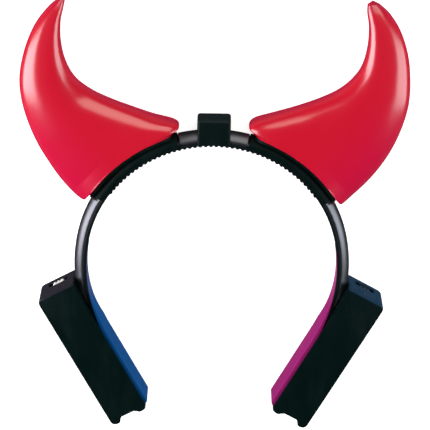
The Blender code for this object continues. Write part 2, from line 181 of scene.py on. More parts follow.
def newGroup(name, inputs, outputs):
    tree = bpy.data.node_groups.new(name, "ShaderNodeTree")
    for label, kind, value in inputs:
        socket = tree.interface.new_socket(name=label, in_out="INPUT", socket_type=kind)
        socket.default_value = value
    for label, kind in outputs:
        tree.interface.new_socket(name=label, in_out="OUTPUT", socket_type=kind)
    return tree, addNode(tree, "NodeGroupInput"), addNode(tree, "NodeGroupOutput")


def buildMouldGrain():
    # fine spark-eroded grain of a moulded plastic, with slow waves from cooling
    tree, given, put = newGroup("mould grain", (
        ("Grain Size", "NodeSocketFloat", 2500.0),
        ("Grain", "NodeSocketFloat", 0.5),
        ("Wave", "NodeSocketFloat", 0.5),
    ), (("Height", "NodeSocketFloat"), ("Mask", "NodeSocketFloat")))
    coords = addNode(tree, "ShaderNodeTexCoord")
    grain = addNode(tree, "ShaderNodeTexNoise")
    grain.inputs["Detail"].default_value = 3.0
    tree.links.new(coords.outputs["Object"], grain.inputs["Vector"])
    tree.links.new(given.outputs["Grain Size"], grain.inputs["Scale"])
    wave = addNode(tree, "ShaderNodeTexNoise")
    wave.inputs["Scale"].default_value = 60.0
    wave.inputs["Detail"].default_value = 1.0
    tree.links.new(coords.outputs["Object"], wave.inputs["Vector"])
    fine = mathNode(tree, "MULTIPLY", grain.outputs["Fac"], given.outputs["Grain"])
    slow = mathNode(tree, "MULTIPLY", wave.outputs["Fac"], given.outputs["Wave"])
    tree.links.new(mathNode(tree, "ADD", fine, slow), put.inputs["Height"])
    tree.links.new(wave.outputs["Fac"], put.inputs["Mask"])
    return tree


def buildHandlingMarks():
    # faint streaks and dull spots from handling, as a mask from 0 to 1
    tree, given, put = newGroup("handling marks", (
        ("Size", "NodeSocketFloat", 140.0),
        ("Amount", "NodeSocketFloat", 0.5),
    ), (("Mask", "NodeSocketFloat"),))
    coords = addNode(tree, "ShaderNodeTexCoord")
    stretch = addNode(tree, "ShaderNodeMapping")
    stretch.inputs["Scale"].default_value = (1.0, 0.25, 1.0)
    stretch.inputs["Rotation"].default_value = (0.0, 0.0, 0.6)
    tree.links.new(coords.outputs["Object"], stretch.inputs["Vector"])
    smear = addNode(tree, "ShaderNodeTexNoise")
    smear.inputs["Detail"].default_value = 4.0
    smear.inputs["Roughness"].default_value = 0.65
    tree.links.new(stretch.outputs["Vector"], smear.inputs["Vector"])
    tree.links.new(given.outputs["Size"], smear.inputs["Scale"])
    ramp = addNode(tree, "ShaderNodeMapRange")
    ramp.inputs["From Min"].default_value = 0.45
    ramp.inputs["From Max"].default_value = 0.75
    tree.links.new(smear.outputs["Fac"], ramp.inputs["Value"])
    mask = mathNode(tree, "MULTIPLY", ramp.outputs["Result"], given.outputs["Amount"])
    tree.links.new(mask, put.inputs["Mask"])
    return tree


mouldGrain = buildMouldGrain()
handlingMarks = buildHandlingMarks()


def addGroup(tree, group, **values):
    node = addNode(tree, "ShaderNodeGroup", node_tree=group)
    for label, value in values.items():
        node.inputs[label.replace("_", " ")].default_value = value
    return node


def mixColour(tree, factor, first, second):
    node = addNode(tree, "ShaderNodeMix", data_type="RGBA")
    tree.links.new(factor, node.inputs["Factor"])
    for socket, value in ((node.inputs["A"], first), (node.inputs["B"], second)):
        if isinstance(value, tuple):
            socket.default_value = (*value, 1.0)
        else:
            tree.links.new(value, socket)
    return node.outputs["Result"]


def smoothMask(tree, value, low, high):
    # 0 at low, 1 at high, and smooth between
    node = addNode(tree, "ShaderNodeMapRange", interpolation_type="SMOOTHSTEP")
    node.inputs["From Min"].default_value = low
    node.inputs["From Max"].default_value = high
    tree.links.new(value, node.inputs["Value"])
    return node.outputs["Result"]


def addSurface(tree, shader, look, marks, grain):
    # roughness from the handling marks, and the moulded grain as a bump
    rough = addNode(tree, "ShaderNodeMapRange")
    rough.inputs["To Min"].default_value = look["rough"]
    rough.inputs["To Max"].default_value = look["roughWorn"]
    tree.links.new(marks.outputs["Mask"], rough.inputs["Value"])
    tree.links.new(rough.outputs["Result"], shader.inputs["Roughness"])
    bump = addNode(tree, "ShaderNodeBump")
    bump.inputs["Strength"].default_value = look["bump"]
    bump.inputs["Distance"].default_value = 0.0002
    tree.links.new(grain.outputs["Height"], bump.inputs["Height"])
    tree.links.new(bump.outputs["Normal"], shader.inputs["Normal"])
    shader.inputs["Specular IOR Level"].default_value = look["specular"]


def mouldedPlastic(name, look):
    material = bpy.data.materials.new(name)
    material.use_nodes = True
    tree = material.node_tree
    shader = tree.nodes["Principled BSDF"]
    marks = addGroup(tree, handlingMarks, Size=look["markSize"], Amount=1.0)
    grain = addGroup(tree, mouldGrain, Grain_Size=look["grainSize"], Grain=look["grain"], Wave=look["wave"])
    colour = mixColour(tree, marks.outputs["Mask"], look["colour"], look["worn"])
    if "paintedLightColour" in look:  # one end of the piece, along a direction, is painted a lighter or tinted tone: a painted highlight or painted reflection
        coords = addNode(tree, "ShaderNodeTexCoord")
        along = addNode(tree, "ShaderNodeVectorMath", operation="DOT_PRODUCT")
        tree.links.new(coords.outputs["Object"], along.inputs[0])
        along.inputs[1].default_value = look["paintedLightAlong"]
        end = smoothMask(tree, along.outputs["Value"], look["paintedLightFrom"], look["paintedLightTo"])
        colour = mixColour(tree, end, colour, look["paintedLightColour"])
    tree.links.new(colour, shader.inputs["Base Color"])
    addSurface(tree, shader, look, marks, grain)
    shader.inputs["Specular Tint"].default_value = (*look.get("tint", (1.0, 1.0, 1.0)), 1.0)
    shader.inputs["Coat Weight"].default_value = look.get("coat", 0.0)
    shader.inputs["Coat Roughness"].default_value = look.get("coatRough", 0.05)
    return material


endPoint, endNormal = bandFrame(arcLength)
caseUp = (-endNormal.y, endNormal.x, 0.0)  # up the right case, to the end with its switch
caseEnd = (endPoint.x * caseUp[0] + endPoint.y * caseUp[1] + batteryCase["rise"]) * toMetres
bandBlack = mouldedPlastic("band gloss black", {
    "colour": (0.0020, 0.0055, 0.0058), "worn": (0.006, 0.010, 0.011),
    "rough": 0.40, "roughWorn": 0.50, "markSize": 220.0,
    "grainSize": 1800.0, "grain": 0.15, "wave": 0.6, "bump": 0.10, "specular": 0.12,
})
channelBlack = mouldedPlastic("channel high gloss black", {
    "colour": (0.0022, 0.0050, 0.0060), "worn": (0.007, 0.010, 0.012),
    "rough": 0.36, "roughWorn": 0.42, "markSize": 180.0,
    "grainSize": 1500.0, "grain": 0.08, "wave": 0.7, "bump": 0.08,
    "specular": 1.0, "coat": 1.0, "coatRough": 0.34, "tint": (0.78, 0.82, 1.0),
})
matteLook = {
    "colour": (0.0008, 0.0058, 0.0052), "worn": (0.003, 0.009, 0.009),
    "rough": 0.40, "roughWorn": 0.50, "markSize": 160.0,
    "grainSize": 3200.0, "grain": 0.8, "wave": 0.3, "bump": 0.20,
}
saddleBlack = mouldedPlastic("saddle matte black", {**matteLook, "specular": 0.05})
# painted highlight: the top of the centre cover, above 46.6 mm, is painted paler where light falls on it
coverBlack = mouldedPlastic("cover matte black", {
    **matteLook, "specular": 0.08,
    "paintedLightAlong": (0.0, 1.0, 0.0), "paintedLightFrom": 0.0466, "paintedLightTo": 0.0480, "paintedLightColour": (0.0085, 0.0160, 0.0175),
})
caseLook = {
    "colour": (0.0007, 0.0056, 0.0052), "worn": (0.002, 0.008, 0.008),
    "rough": 0.22, "roughWorn": 0.30, "markSize": 120.0,
    "grainSize": 2600.0, "grain": 0.7, "wave": 0.4, "bump": 0.14, "specular": 0.35,
    "tint": (0.80, 0.86, 1.0), "paintedLightFrom": caseEnd - 0.0012, "paintedLightTo": caseEnd - 0.0002,
}
# painted reflection: the switch end of each case is painted paler, purple-grey on the left case and blue on
# the right
caseBlack = {
    "left": mouldedPlastic("left case satin black", {
        **caseLook, "paintedLightAlong": (-caseUp[0], caseUp[1], 0.0), "paintedLightColour": (0.0190, 0.0170, 0.0260),
    }),
    "right": mouldedPlastic("right case satin black", {
        **caseLook, "paintedLightAlong": caseUp, "paintedLightColour": (0.010, 0.036, 0.075),
    }),
}
knobLook = {
    "roughWorn": 0.45, "markSize": 400.0,
    "grainSize": 3000.0, "grain": 0.4, "wave": 0.2, "bump": 0.12, "specular": 0.5,
}
knobWhite = mouldedPlastic("white slider", {
    **knobLook, "colour": (0.80, 0.80, 0.78), "worn": (0.55, 0.55, 0.54), "rough": 0.32,
})
knobGrey = mouldedPlastic("blue-grey slider", {
    **knobLook, "colour": (0.006, 0.012, 0.020), "worn": (0.020, 0.034, 0.050), "rough": 0.30,
})
# painted highlight: each temple strip is painted paler towards its upper end, lavender on the blue and pink
# on the magenta
padLook = {
    "rough": 0.45, "roughWorn": 0.60, "markSize": 140.0,
    "grainSize": 1400.0, "grain": 0.8, "wave": 0.4, "bump": 0.25, "specular": 0.06,
    "paintedLightAlong": (0.0, 1.0, 0.0), "paintedLightFrom": -0.045,
}
padBlue = mouldedPlastic("blue temple strip", {
    **padLook, "colour": (0.001, 0.060, 0.215), "worn": (0.003, 0.068, 0.235),
    "paintedLightTo": -0.028, "paintedLightColour": (0.070, 0.090, 0.210),
})
padMagenta = mouldedPlastic("magenta temple strip", {
    **padLook, "colour": (0.245, 0.009, 0.120), "worn": (0.275, 0.013, 0.140),
    "paintedLightTo": -0.020, "paintedLightColour": (0.400, 0.060, 0.220),
})

hornLook = {
    "colour": (0.575, 0.0045, 0.024),
    "rosy": (0.590, 0.0030, 0.050),     # towards the outer lower corner
    "rosyFrom": 0.005,                  # by distance out minus height
    "rosyTo": 0.055,
    "deep": (0.520, 0.0030, 0.019),     # in the slow mottling of the moulding
    "deepShare": 0.25,
    "rough": 0.22,
    "roughWorn": 0.31,
    "bump": 0.06,
    "edgeShadeTone": (0.400, 0.005, 0.058),      # painted shade: a darker band at half depth, along the horn's edges
    "shadeBandMiddle": 0.00845,
    "shadeBandNear": 0.0010,
    "shadeBandFar": 0.0040,
    "shadeBandShare": 0.55,
    "specular": 1.0,
}


def buildHornRed():
    look = hornLook
    material = bpy.data.materials.new("horn rose red")
    material.use_nodes = True
    tree = material.node_tree
    shader = tree.nodes["Principled BSDF"]
    coords = addNode(tree, "ShaderNodeTexCoord")
    axes = addNode(tree, "ShaderNodeSeparateXYZ")
    tree.links.new(coords.outputs["Object"], axes.inputs["Vector"])
    outward = mathNode(tree, "ABSOLUTE", axes.outputs["X"])
    corner = mathNode(tree, "SUBTRACT", outward, axes.outputs["Y"])
    rosy = smoothMask(tree, corner, look["rosyFrom"], look["rosyTo"])
    marks = addGroup(tree, handlingMarks, Size=60.0, Amount=0.5)
    grain = addGroup(tree, mouldGrain, Grain_Size=900.0, Grain=0.06, Wave=0.25)
    tint = mixColour(tree, rosy, look["colour"], look["rosy"])
    mottle = mathNode(tree, "MULTIPLY", grain.outputs["Mask"], look["deepShare"])
    faded = mixColour(tree, mottle, tint, look["deep"])
    # painted shade: the base colour darkens towards half depth, where the horn's edges turn away from the
    # light
    offShadeBand = mathNode(tree, "ABSOLUTE", mathNode(tree, "SUBTRACT", axes.outputs["Z"], look["shadeBandMiddle"]))
    onShadeBand = smoothMask(tree, offShadeBand, look["shadeBandFar"], look["shadeBandNear"])
    edgeShadeTone = mathNode(tree, "MULTIPLY", onShadeBand, look["shadeBandShare"])
    shaded = mixColour(tree, edgeShadeTone, faded, look["edgeShadeTone"])
    tree.links.new(shaded, shader.inputs["Base Color"])
    addSurface(tree, shader, look, marks, grain)
    return material


hornRed = buildHornRed()
print("stage 2: finishes made,", len(bpy.data.materials), "materials")


# Geometry Nodes helpers

def newGeometryTree(name, inputs):
    tree = bpy.data.node_groups.new(name, "GeometryNodeTree")
    tree.interface.new_socket(name="Geometry", in_out="INPUT", socket_type="NodeSocketGeometry")
    for label, kind, value in inputs:
        socket = tree.interface.new_socket(name=label, in_out="INPUT", socket_type=kind)
        if value is not None:
            socket.default_value = value
    tree.interface.new_socket(name="Geometry", in_out="OUTPUT", socket_type="NodeSocketGeometry")
    return tree, addNode(tree, "NodeGroupInput"), addNode(tree, "NodeGroupOutput")


def join(tree, source, target):
    tree.links.new(source, target)


def endTree(tree, given, put, geometry):
    realize = addNode(tree, "GeometryNodeRealizeInstances")
    paint = addNode(tree, "GeometryNodeSetMaterial")
    join(tree, geometry, realize.inputs[0])
    join(tree, realize.outputs[0], paint.inputs["Geometry"])
    join(tree, given.outputs["Material"], paint.inputs["Material"])
    join(tree, paint.outputs[0], put.inputs[0])


def growFromTree(name, tree, values, startMesh=None):
    obj = linkMesh(name, startMesh or bpy.data.meshes.new(name))
    modifier = obj.modifiers.new(tree.name, "NODES")
    modifier.node_group = tree
    for item in tree.interface.items_tree:
        if item.in_out == "INPUT" and item.name in values:
            modifier[item.identifier] = values[item.name]
    return bakeModifiers(obj)


def combineXyz(tree, x, y, z):
    node = addNode(tree, "ShaderNodeCombineXYZ")
    for socket, value in zip(node.inputs, (x, y, z)):
        if isinstance(value, (int, float)):
            socket.default_value = value
        else:
            tree.links.new(value, socket)
    return node.outputs[0]


def storeAttribute(tree, geometry, name, value, kind="FLOAT"):
    node = addNode(tree, "GeometryNodeStoreNamedAttribute", data_type=kind)
    join(tree, geometry, node.inputs["Geometry"])
    node.inputs["Name"].default_value = name
    join(tree, value, node.inputs["Value"])
    return node.outputs[0]


def readAttribute(tree, name, kind="FLOAT"):
    node = addNode(tree, "GeometryNodeInputNamedAttribute", data_type=kind)
    node.inputs["Name"].default_value = name
    return node.outputs[0]


def uprightLine(tree, given):
    # the given line as a curve whose normals stay level
    line = addNode(tree, "GeometryNodeMeshToCurve")
    join(tree, given.outputs["Geometry"], line.inputs["Mesh"])
    upright = addNode(tree, "GeometryNodeSetCurveNormal")
    upright.mode = "Z_UP"
    join(tree, line.outputs[0], upright.inputs["Curve"])
    return upright.outputs[0]


def sweepProfile(tree, line, profile):
    sweep = addNode(tree, "GeometryNodeCurveToMesh")
    join(tree, line, sweep.inputs["Curve"])
    join(tree, profile, sweep.inputs["Profile Curve"])
    sweep.inputs["Fill Caps"].default_value = True
    return sweep.outputs[0]


def endSmooth(tree, given, put, geometry):
    smooth = addNode(tree, "GeometryNodeSetShadeSmooth")
    join(tree, geometry, smooth.inputs["Geometry"])
    endTree(tree, given, put, smooth.outputs[0])


# Comb teeth on the band's inner edge, one tooth at each point of an arc

combTeeth = {
    "count": 46, "pitch": 2.4, "radius": 57.6, "height": 0.45, "land": 1.10, "root": 1.76,
    "sunk": 0.25, "length": 8.8, "round": 0.16,
}


def buildCombTree():
    tree, given, put = newGeometryTree("comb along the crown", (
        ("Count", "NodeSocketInt", 10), ("Pitch Angle", "NodeSocketFloat", 0.04),
        ("Radius", "NodeSocketFloat", 0.05), ("Centre Y", "NodeSocketFloat", 0.0),
        ("Low Z", "NodeSocketFloat", 0.0), ("Length", "NodeSocketFloat", 0.009),
        ("Height", "NodeSocketFloat", 0.001), ("Land", "NodeSocketFloat", 0.001),
        ("Root", "NodeSocketFloat", 0.001), ("Sunk", "NodeSocketFloat", 0.0002),
        ("Round", "NodeSocketFloat", 0.0001), ("Material", "NodeSocketMaterial", None),
    ))
    tall = mathNode(tree, "ADD", given.outputs["Height"], given.outputs["Sunk"])
    outline = addNode(tree, "GeometryNodeCurvePrimitiveQuadrilateral", mode="TRAPEZOID")
    join(tree, tall, outline.inputs["Height"])
    join(tree, given.outputs["Land"], outline.inputs["Bottom Width"])
    join(tree, given.outputs["Root"], outline.inputs["Top Width"])
    outline.inputs["Offset"].default_value = 0.0
    fillet = addNode(tree, "GeometryNodeFilletCurve", mode="POLY")
    fillet.inputs["Count"].default_value = 3
    join(tree, outline.outputs[0], fillet.inputs["Curve"])
    join(tree, given.outputs["Round"], fillet.inputs["Radius"])
    fill = addNode(tree, "GeometryNodeFillCurve")
    join(tree, fillet.outputs[0], fill.inputs[0])
    raised = addNode(tree, "GeometryNodeExtrudeMesh", mode="FACES")
    join(tree, fill.outputs[0], raised.inputs["Mesh"])
    join(tree, combineXyz(tree, 0.0, 0.0, 1.0), raised.inputs["Offset"])
    join(tree, given.outputs["Length"], raised.inputs["Offset Scale"])
    raised.inputs["Individual"].default_value = False
    foot = addNode(tree, "GeometryNodeFlipFaces")
    join(tree, fill.outputs[0], foot.inputs["Mesh"])
    both = addNode(tree, "GeometryNodeJoinGeometry")
    join(tree, raised.outputs["Mesh"], both.inputs[0])
    join(tree, foot.outputs[0], both.inputs[0])
    closed = addNode(tree, "GeometryNodeMergeByDistance")
    closed.inputs["Distance"].default_value = 0.00001
    join(tree, both.outputs[0], closed.inputs["Geometry"])
    seat = addNode(tree, "GeometryNodeTransform")
    join(tree, closed.outputs[0], seat.inputs["Geometry"])
    half = mathNode(tree, "MULTIPLY", tall, 0.5)
    drop = mathNode(tree, "SUBTRACT", half, given.outputs["Height"])
    join(tree, combineXyz(tree, 0.0, drop, 0.0), seat.inputs["Translation"])
    row = addNode(tree, "GeometryNodeMeshLine")
    join(tree, given.outputs["Count"], row.inputs["Count"])
    index = addNode(tree, "GeometryNodeInputIndex").outputs[0]
    middle = mathNode(tree, "MULTIPLY", mathNode(tree, "SUBTRACT", given.outputs["Count"], 1.0), 0.5)
    fromMiddle = mathNode(tree, "SUBTRACT", index, middle)
    angle = mathNode(tree, "MULTIPLY", fromMiddle, given.outputs["Pitch Angle"])
    x = mathNode(tree, "MULTIPLY", mathNode(tree, "SINE", angle), given.outputs["Radius"])
    rise = mathNode(tree, "MULTIPLY", mathNode(tree, "COSINE", angle), given.outputs["Radius"])
    y = mathNode(tree, "ADD", rise, given.outputs["Centre Y"])
    spots = addNode(tree, "GeometryNodeSetPosition")
    join(tree, row.outputs[0], spots.inputs["Geometry"])
    join(tree, combineXyz(tree, x, y, given.outputs["Low Z"]), spots.inputs["Position"])
    copies = addNode(tree, "GeometryNodeInstanceOnPoints")
    join(tree, spots.outputs[0], copies.inputs["Points"])
    join(tree, seat.outputs[0], copies.inputs["Instance"])
    join(tree, combineXyz(tree, 0.0, 0.0, mathNode(tree, "MULTIPLY", angle, -1.0)), copies.inputs["Rotation"])
    endTree(tree, given, put, copies.outputs[0])
    return tree


def makeComb():
    size = combTeeth
    comb = growFromTree("band_comb", buildCombTree(), {
        "Count": size["count"], "Pitch Angle": size["pitch"] / size["radius"],
        "Radius": size["radius"] * toMetres, "Centre Y": bandLine["crownY"] * toMetres,
        "Low Z": (bandLine["middleZ"] - size["length"] / 2) * toMetres, "Length": size["length"] * toMetres,
        "Height": size["height"] * toMetres, "Land": size["land"] * toMetres, "Root": size["root"] * toMetres,
        "Sunk": size["sunk"] * toMetres, "Round": size["round"] * toMetres, "Material": bandBlack,
    })
    place(comb, "band", "gloss black plastic")
    return comb


# Band strip and wire channel: sections swept along the band's line

bandStrip = {"thick": 1.6, "depth": 9.0, "round": 0.35, "tail": 38.0, "stations": 330}
wireMoulding = {
    "width": 7.5, "crown": 4.8, "seat": 3.1, "lower": 3.9, "slope": 0.2,  # its heights, and their ramp
    "side": 0.6, "power": 1.5, "short": 12.0, "stations": 620, "sides": 48,
    "roomPast": 20.0,  # the room cut for a case reaches this far past it
}
channelFoot = bandStrip["thick"] + bandLine["gap"]


def pathMesh(name, reach, count, offset=0.0, heightAt=None):
    # a line along the band; with heightAt it carries each station's height as an attribute
    mesh = bpy.data.meshes.new(name)
    stations = spread(-reach, reach, count)
    mesh.from_pydata([bandPoint(s, offset, 0.0) * toMetres for s in stations],
                     [(i, i + 1) for i in range(count)], [])
    if heightAt:
        heights = mesh.attributes.new("rise", "FLOAT", "POINT")
        for i, s in enumerate(stations):
            heights.data[i].value = heightAt(abs(s)) * toMetres
    return mesh


def buildStripTree():
    tree, given, put = newGeometryTree("flat strip along a line", (
        ("Thickness", "NodeSocketFloat", 0.0016), ("Depth", "NodeSocketFloat", 0.009),
        ("Round", "NodeSocketFloat", 0.0003), ("Material", "NodeSocketMaterial", None),
    ))
    outline = addNode(tree, "GeometryNodeCurvePrimitiveQuadrilateral", mode="RECTANGLE")
    join(tree, given.outputs["Thickness"], outline.inputs["Width"])
    join(tree, given.outputs["Depth"], outline.inputs["Height"])
    fillet = addNode(tree, "GeometryNodeFilletCurve", mode="POLY")
    fillet.inputs["Count"].default_value = 4
    join(tree, outline.outputs[0], fillet.inputs["Curve"])
    join(tree, given.outputs["Round"], fillet.inputs["Radius"])
    endSmooth(tree, given, put, sweepProfile(tree, uprightLine(tree, given), fillet.outputs[0]))
    return tree


def buildMouldingTree():
    # a circle pulled into a D: a dome outwards that takes its rise from the line, and a flat foot
    tree, given, put = newGeometryTree("D moulding along a line", (
        ("Width", "NodeSocketFloat", 0.0075), ("Side", "NodeSocketFloat", 0.001),
        ("Power", "NodeSocketFloat", 2.0), ("Sides", "NodeSocketInt", 32),
        ("Material", "NodeSocketMaterial", None),
    ))
    outward = addNode(tree, "ShaderNodeVectorMath", operation="SCALE")
    join(tree, addNode(tree, "GeometryNodeInputNormal").outputs[0], outward.inputs[0])
    outward.inputs["Scale"].default_value = -1.0
    line = storeAttribute(tree, uprightLine(tree, given), "outward", outward.outputs[0], "FLOAT_VECTOR")
    circle = addNode(tree, "GeometryNodeCurvePrimitiveCircle")
    join(tree, given.outputs["Sides"], circle.inputs["Resolution"])
    circle.inputs["Radius"].default_value = 1.0
    spot = addNode(tree, "ShaderNodeSeparateXYZ")
    join(tree, addNode(tree, "GeometryNodeInputPosition").outputs[0], spot.inputs[0])
    exponent = mathNode(tree, "DIVIDE", 2.0, given.outputs["Power"])
    wide = mathNode(tree, "POWER", mathNode(tree, "ABSOLUTE", spot.outputs["Y"]), exponent)
    wide = mathNode(tree, "MULTIPLY", wide, mathNode(tree, "SIGN", spot.outputs["Y"]))
    across = mathNode(tree, "MULTIPLY", wide, mathNode(tree, "MULTIPLY", given.outputs["Width"], 0.5))
    high = mathNode(tree, "POWER", mathNode(tree, "MAXIMUM", spot.outputs["X"], 0.0), exponent)
    profile = storeAttribute(tree, circle.outputs[0], "share", high)
    isUpper = mathNode(tree, "GREATER_THAN", spot.outputs["X"], -0.0001)
    profile = storeAttribute(tree, profile, "upper", isUpper)
    flat = addNode(tree, "GeometryNodeSetPosition")
    join(tree, profile, flat.inputs["Geometry"])
    join(tree, combineXyz(tree, 0.0, across, 0.0), flat.inputs["Position"])
    aboveSide = mathNode(tree, "SUBTRACT", readAttribute(tree, "rise"), given.outputs["Side"])
    dome = mathNode(tree, "MULTIPLY", aboveSide, readAttribute(tree, "share"))
    height = mathNode(tree, "ADD", dome, given.outputs["Side"])
    lifted = mathNode(tree, "MULTIPLY", height, readAttribute(tree, "upper"))
    push = addNode(tree, "ShaderNodeVectorMath", operation="SCALE")
    join(tree, readAttribute(tree, "outward", "FLOAT_VECTOR"), push.inputs[0])
    join(tree, lifted, push.inputs["Scale"])
    shape = addNode(tree, "GeometryNodeSetPosition")
    join(tree, sweepProfile(tree, line, flat.outputs[0]), shape.inputs["Geometry"])
    join(tree, push.outputs[0], shape.inputs["Offset"])
    endSmooth(tree, given, put, shape.outputs[0])
    return tree


def makeBandStrip():
    size = bandStrip
    path = pathMesh("band line", arcLength + size["tail"], size["stations"], size["thick"] / 2)
    strip = growFromTree("band_strip", buildStripTree(), {
        "Thickness": size["thick"] * toMetres, "Depth": size["depth"] * toMetres,
        "Round": size["round"] * toMetres, "Material": bandBlack,
    }, path)
    strip.data.set_sharp_from_angle(angle=math.radians(40))
    place(strip, "band", "gloss black plastic", "headband")
    return strip


def saddleEndAngle(offset):
    size = saddleSleeve
    height = size["endY"] + size["endSlant"] * (offset - size["hem"])
    return math.acos((height - bandLine["crownY"]) / (bandLine["arcs"][0][0] + offset))


def mouldingHeight(s):
    # above the band: high beside the block, low under the saddle, middling down to the case
    size = wireMoulding
    radius = bandLine["arcs"][0][0]
    seatStart = radius * math.radians(saddleSleeve["from"]) - bandLine["gap"]
    seatEnd = radius * saddleEndAngle(channelFoot + size["lower"]) + 2 * bandLine["gap"]
    if s < seatStart:
        share = min(1.0, (seatStart - s) / size["slope"])
        return bandLine["gap"] + size["seat"] + (size["crown"] - size["seat"]) * share
    share = min(1.0, max(0.0, s - seatEnd) / size["slope"])
    return bandLine["gap"] + size["seat"] + (size["lower"] - size["seat"]) * share


def makeWireMoulding():
    size = wireMoulding
    reach = arcLength - size["short"]
    path = pathMesh("channel line", reach, size["stations"], bandStrip["thick"], mouldingHeight)
    moulding = growFromTree("wire_moulding", buildMouldingTree(), {
        "Width": size["width"] * toMetres, "Side": size["side"] * toMetres,
        "Power": size["power"], "Sides": size["sides"], "Material": channelBlack,
    }, path)
    for side in (-1, 1):
        carve(moulding, caseBlock(side, bandLine["gap"], size["roomPast"]))
    for name in ("rise", "outward", "share", "upper"):
        if name in moulding.data.attributes:
            moulding.data.attributes.remove(moulding.data.attributes[name])
    moulding.data.set_sharp_from_angle(angle=math.radians(50))
    place(moulding, "band", "gloss black channel", "wire_channel")
    return moulding


# Battery cases

switchSlot = {"length": 9.6, "width": 4.4, "depth": 2.2, "across": 8.8, "behind": 4.0,
              "flare": 0.35, "airPast": 2.0}


def casePoint(side, along, across, z):
    corner, normal = bandFrame(side * arcLength)
    down = Vector((side * normal.y, -side * normal.x))
    spot = corner + down * (along - batteryCase["rise"]) + normal * across
    return Vector((spot.x, spot.y, bandLine["middleZ"] + z))


def caseBlock(side, grow, past):
    size = batteryCase
    half = size["depth"] / 2 + past
    outline = ((-grow, -grow), (size["length"], -grow), (size["length"], size["width"] + past),
               (-grow, size["width"] + past))
    bm = bmesh.new()
    skinRings(bm, [[casePoint(side, along, across, z) for along, across in outline] for z in (-half, half)])
    return finishMesh("case_room", bm, None)


def roundCorner(before, corner, after, radius, steps):
    # points of a rounded corner between two straight sides
    first = (Vector(before) - Vector(corner)).normalized()
    second = (Vector(after) - Vector(corner)).normalized()
    start = Vector(corner) + first * radius
    end = Vector(corner) + second * radius
    points = []
    for i in range(steps + 1):
        t = i / steps
        points.append(start * (1 - t) ** 2 + Vector(corner) * 2 * t * (1 - t) + end * t ** 2)
    return points


def caseOutline():
    size = batteryCase
    length, width = size["length"], size["width"]
    lobe = length - size["lobeShort"]
    notch = length - size["notchDepth"]
    start, end = size["notchStart"], size["notchEnd"]
    lip, root = size["notchLip"], size["notchRoot"]
    corners = (  # along, across, radius
        (0.0, 0.0, size["topEdge"]), (lobe, 0.0, size["corner"]),
        (lobe, start, lip), (notch, start + lip, root), (notch, end - lip, root), (length, end, lip),
        (length, width, size["corner"]), (0.0, width, size["corner"]),
    )
    points = []
    for i, (along, across, radius) in enumerate(corners):
        before = corners[i - 1][:2]
        after = corners[(i + 1) % len(corners)][:2]
        points += roundCorner(before, (along, across), after, radius, size["cornerSteps"])
    return points


def makeGrooveCutter(side):
    size = batteryCase
    half = bandStrip["depth"] / 2 + bandLine["gap"]
    floor = bandStrip["thick"] + bandLine["gap"]
    start = size["rise"] - size["grooveAbove"]
    reach = size["rise"] + bandStrip["tail"] + bandLine["gap"]
    outline = ((start, -size["airPast"]), (reach, -size["airPast"]), (reach, floor), (start, floor))
    bm = bmesh.new()
    skinRings(bm, [[casePoint(side, along, across, z) for along, across in outline] for z in (-half, half)])
    return finishMesh("groove_room", bm, None)


def makeSlotCutter(side):
    # the slot's mouth is flared, as a moulded edge is
    slot, flare = switchSlot, switchSlot["flare"]
    levels = ((-slot["airPast"], flare), (0.0, flare), (flare, 0.0), (slot["depth"], 0.0))
    bm = bmesh.new()
    rings = []
    for along, grow in levels:
        near = slot["across"] - slot["length"] / 2 - grow
        far = slot["across"] + slot["length"] / 2 + grow
        half = slot["width"] / 2 + grow
        rings.append([casePoint(side, along, across, z - slot["behind"])
                      for across, z in ((near, -half), (far, -half), (far, half), (near, half))])
    skinRings(bm, rings)
    return finishMesh("slot_room", bm, None)


def makeBatteryCase(sideName, side):
    size = batteryCase
    outline = caseOutline()
    half = size["depth"] / 2
    bm = bmesh.new()
    skinRings(bm, [[casePoint(side, along, across, z) for along, across in outline] for z in (-half, half)])
    level = 0.01  # an edge that rises less than this runs round a flat face
    rims = [edge for edge in bm.edges if abs(edge.verts[0].co.z - edge.verts[1].co.z) < level]
    bmesh.ops.bevel(bm, geom=rims, offset=size["edgeRound"], segments=size["edgeSteps"],
                    profile=0.5, affect="EDGES", clamp_overlap=True)
    case = finishMesh(sideName + "_case_shell", bm, caseBlack[sideName], 40)
    carve(case, makeGrooveCutter(side))
    carve(case, makeSlotCutter(side))
    case.data.set_sharp_from_angle(angle=math.radians(32))
    place(case, "band", "case black plastic", sideName + "_battery_case")
    return case


# Slide switch: a slider with rounded ridges across it

sliderKnob = {
    "length": 5.6, "width": 2.6, "height": 1.8, "ridges": 3, "ridgeHeight": 0.8, "ridgePower": 0.6,
    "steps": 10, "edge": 0.12,
}


def makeSlider(sideName, side, material):
    size, slot = sliderKnob, switchSlot
    base = slot["depth"] - bandLine["gap"]
    top = base - size["height"] + size["ridgeHeight"]
    start = slot["across"] - size["length"] / 2
    waves = size["ridges"]
    bm = bmesh.new()
    half = size["width"] / 2
    profile = [(base, start)]
    for i in range(waves * size["steps"] + 1):
        share = i / (waves * size["steps"])
        lift = size["ridgeHeight"] * abs(math.sin(math.pi * share * waves)) ** size["ridgePower"]
        profile.append((top - lift, start + size["length"] * share))
    profile.append((base, start + size["length"]))
    rings = []
    middle, edge = slot["across"], size["edge"]
    for z, shrink in ((-half, edge), (-half + edge, 0.0), (half - edge, 0.0), (half, edge)):
        ring = []
        for along, across in profile:
            inward = (across - middle) * (1.0 - 2 * shrink / size["length"]) + middle
            sunk = along + (shrink if along < base else 0.0)
            ring.append(casePoint(side, sunk, inward, z - slot["behind"]))
        rings.append(ring)
    skinRings(bm, rings)
    knob = finishMesh(sideName + "_slider", bm, material, 60)
    slotName = "white knob" if sideName == "left" else "grey knob"
    place(knob, sideName + "_switch", slotName, sideName + "_switch_knob")
    return knob


